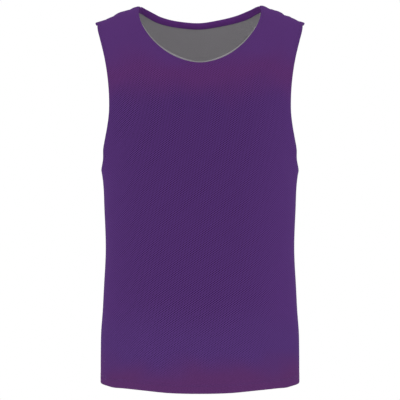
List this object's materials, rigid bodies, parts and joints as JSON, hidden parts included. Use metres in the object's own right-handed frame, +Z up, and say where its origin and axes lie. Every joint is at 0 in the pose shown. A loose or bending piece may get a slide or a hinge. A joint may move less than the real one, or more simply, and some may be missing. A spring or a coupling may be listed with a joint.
{
  "type": "reversible training bib",
  "caption": "Sleeveless training bib in two layers of mesh knit, purple outside and grey inside, open at the neck, armholes and hem.",
  "frame": {"origin": "centre of the space between the shoulders, level with the middle of the shoulder seams, where the wearer's shoulders carry the bib", "axes": "+Z up towards the neck, -Y towards the front of the bib, +X towards the wearer's left side"},
  "size_m": [0.3996, 0.2692, 0.7304],
  "materials": {
    "purple_mesh": "polyester mesh knit with small staggered holes, soft sheen",
    "grey_mesh": "polyester mesh knit, matt grey",
    "purple_tape": "folded tape of plain purple knit"
  },
  "bodies": {
    "root": {"front_outer": "purple_mesh", "back_outer": "purple_mesh", "front_reverse": "grey_mesh", "back_reverse": "grey_mesh", "back_neck_tape": "purple_tape"}
  },
  "joints": []
}
